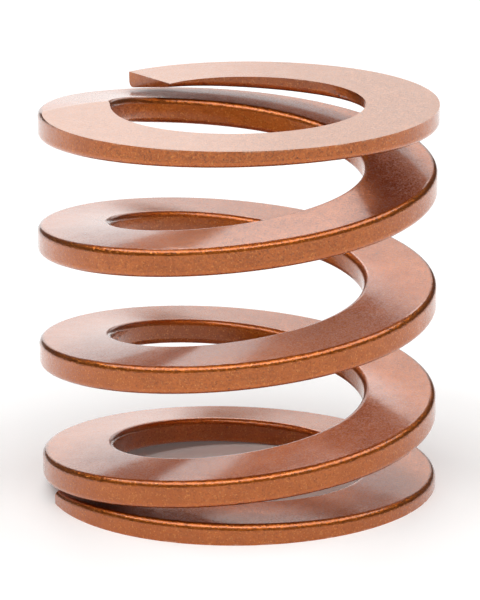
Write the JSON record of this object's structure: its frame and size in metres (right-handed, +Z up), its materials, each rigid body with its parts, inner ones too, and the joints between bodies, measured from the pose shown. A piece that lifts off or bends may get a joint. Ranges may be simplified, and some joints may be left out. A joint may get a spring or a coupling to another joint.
{
  "type": "bump stop spring",
  "caption": "Short stiff compression spring of flat wire coiled on edge into a right-handed helix, with closed and ground ends, in metallic copper paint.",
  "frame": {"origin": "centre of the outline, on the plane of the bottom ground face", "axes": "+Z up along the coil from the bottom ground face to the top one; -Y is the side the picture shows, with +X to its right"},
  "size_m": [0.0516, 0.0512, 0.0505],
  "materials": {
    "metallic_copper_paint": "glossy metallic copper coating with fine flake over spring steel"
  },
  "bodies": {
    "root": {"spring": "metallic_copper_paint"}
  },
  "joints": []
}
